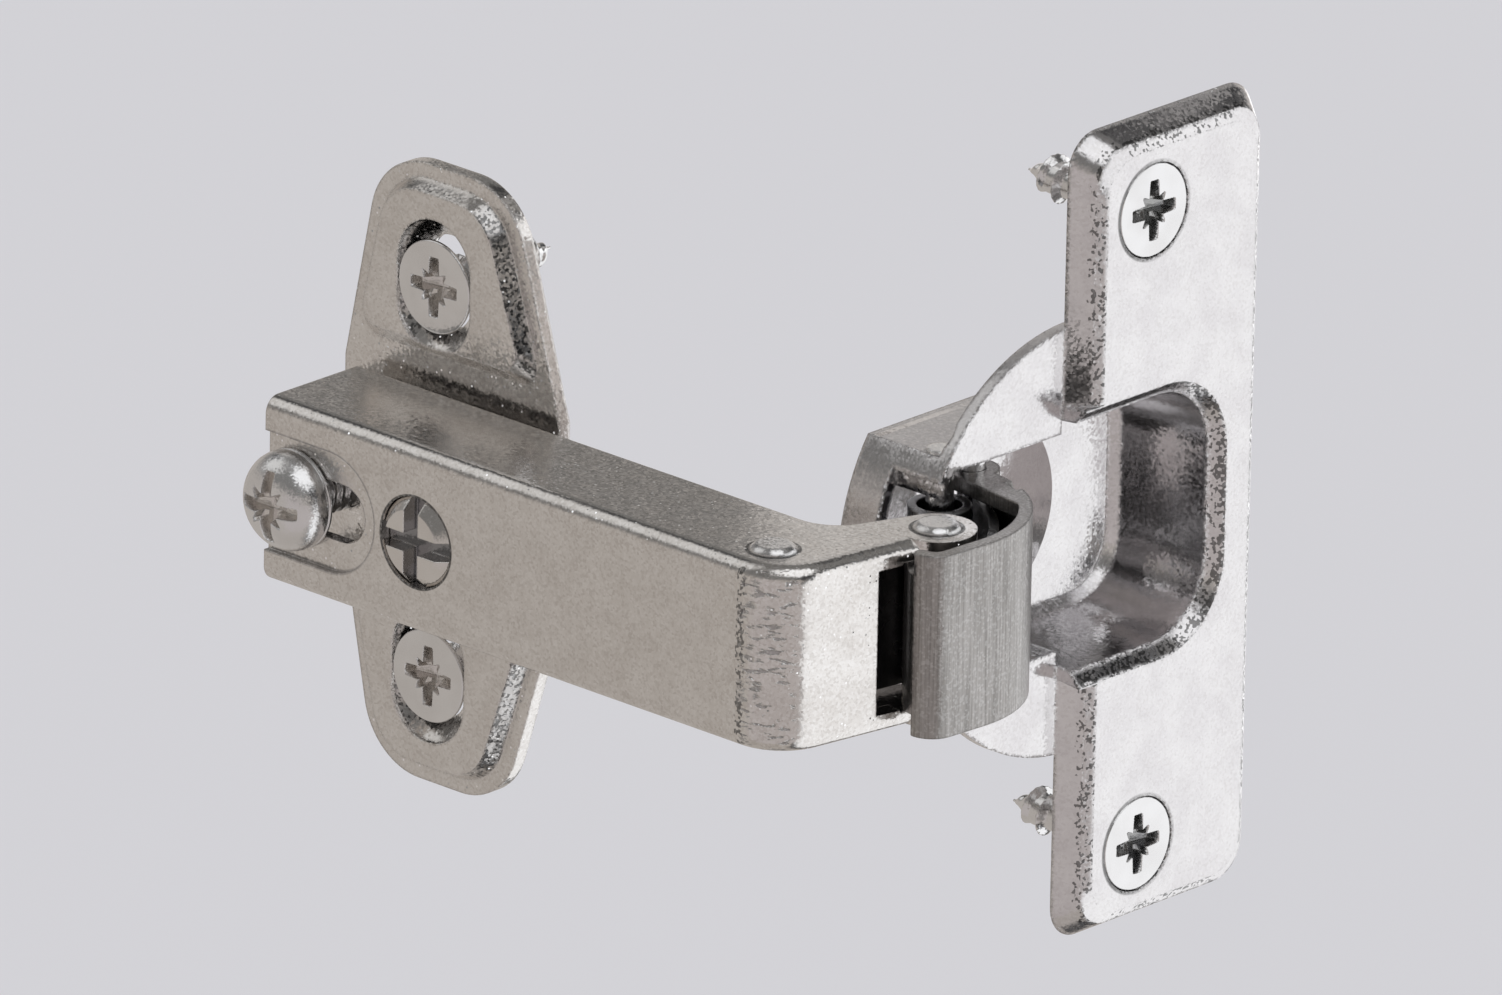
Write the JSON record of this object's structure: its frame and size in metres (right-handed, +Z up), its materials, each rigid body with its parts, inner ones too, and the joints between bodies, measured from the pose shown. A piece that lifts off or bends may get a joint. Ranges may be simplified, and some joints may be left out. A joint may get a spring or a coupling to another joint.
{
  "type": "concealed hinge",
  "caption": "Concealed cup hinge for corner doors: a screw-on mounting plate, a long bent arm, two links and a pressed 35 mm cup that folds away from the arm.",
  "frame": {"origin": "on the cabinet panel's face, at the back of the mounting plate, midway between its two screws", "axes": "+X into the cabinet panel, -Y towards the door's cup, +Z up along the hinge's pins"},
  "size_m": [0.0593, 0.0628, 0.066],
  "materials": {
    "plate_nickel": "nickel-plated pressed steel, satin bright",
    "arm_nickel": "nickel-plated folded steel, satin bright with fine sparkle",
    "cup_nickel": "nickel-plated pressed steel, bright",
    "link_steel": "nickel-plated steel, finely brushed along its height",
    "inner_steel": "dark oiled steel",
    "spring_steel": "hardened spring steel",
    "pin_steel": "bright steel with riveted heads",
    "screw_zinc": "bright zinc plating",
    "screw_bright": "bright zinc plating"
  },
  "bodies": {
    "plate": {"mounting_plate": "plate_nickel", "plate_screw_upper": "screw_zinc", "plate_screw_lower": "screw_zinc"},
    "fixing": {"fixing_screw": "screw_bright"},
    "arm": {"hinge_arm": "arm_nickel", "arm_pin_rear": "pin_steel", "arm_pin_front": "pin_steel"},
    "overlay": {"overlay_screw": "screw_bright"},
    "outer": {"outer_link": "link_steel", "leaf_spring": "spring_steel"},
    "inner": {"inner_link": "inner_steel"},
    "door_cup": {"cup": "cup_nickel", "cup_pin_outer": "pin_steel", "cup_pin_inner": "pin_steel", "cup_screw_upper": "screw_zinc", "cup_screw_lower": "screw_zinc"}
  },
  "joints": [
    {"name": "fixing_screw_turn", "type": "hinge", "parent": "plate", "child": "fixing", "pos_m": [-0.012, 0.0049, 0], "axis": [-1, 0, 0], "range_deg": [0, 360]},
    {"name": "arm_slide", "type": "slide", "parent": "plate", "child": "arm", "axis": [0, 1, 0], "range_m": [-0.0025, 0.0046]},
    {"name": "overlay_screw_turn", "type": "hinge", "parent": "arm", "child": "overlay", "pos_m": [-0.012, -0.0083, 0], "axis": [-1, 0, 0], "range_deg": [-360, 360]},
    {"name": "outer_link_swing", "type": "hinge", "parent": "arm", "child": "outer", "pos_m": [0.0035, -0.0474, 0], "axis": [0, 0, 1], "range_deg": [0, 21.7]},
    {"name": "inner_link_swing", "type": "hinge", "parent": "arm", "child": "inner", "pos_m": [-0.0088, -0.0419, 0], "axis": [0, 0, 1], "range_deg": [0, 24.4]},
    {"name": "door_turn", "type": "hinge", "parent": "outer", "child": "door_cup", "pos_m": [0.0153, -0.0401, 0], "axis": [0, 0, -1], "range_deg": [0, 86.6]}
  ],
  "couplings": [
    {"joint": "outer_link_swing", "follows": "door_turn", "ratio": 0.24942},
    {"joint": "inner_link_swing", "follows": "door_turn", "ratio": 0.2806}
  ]
}
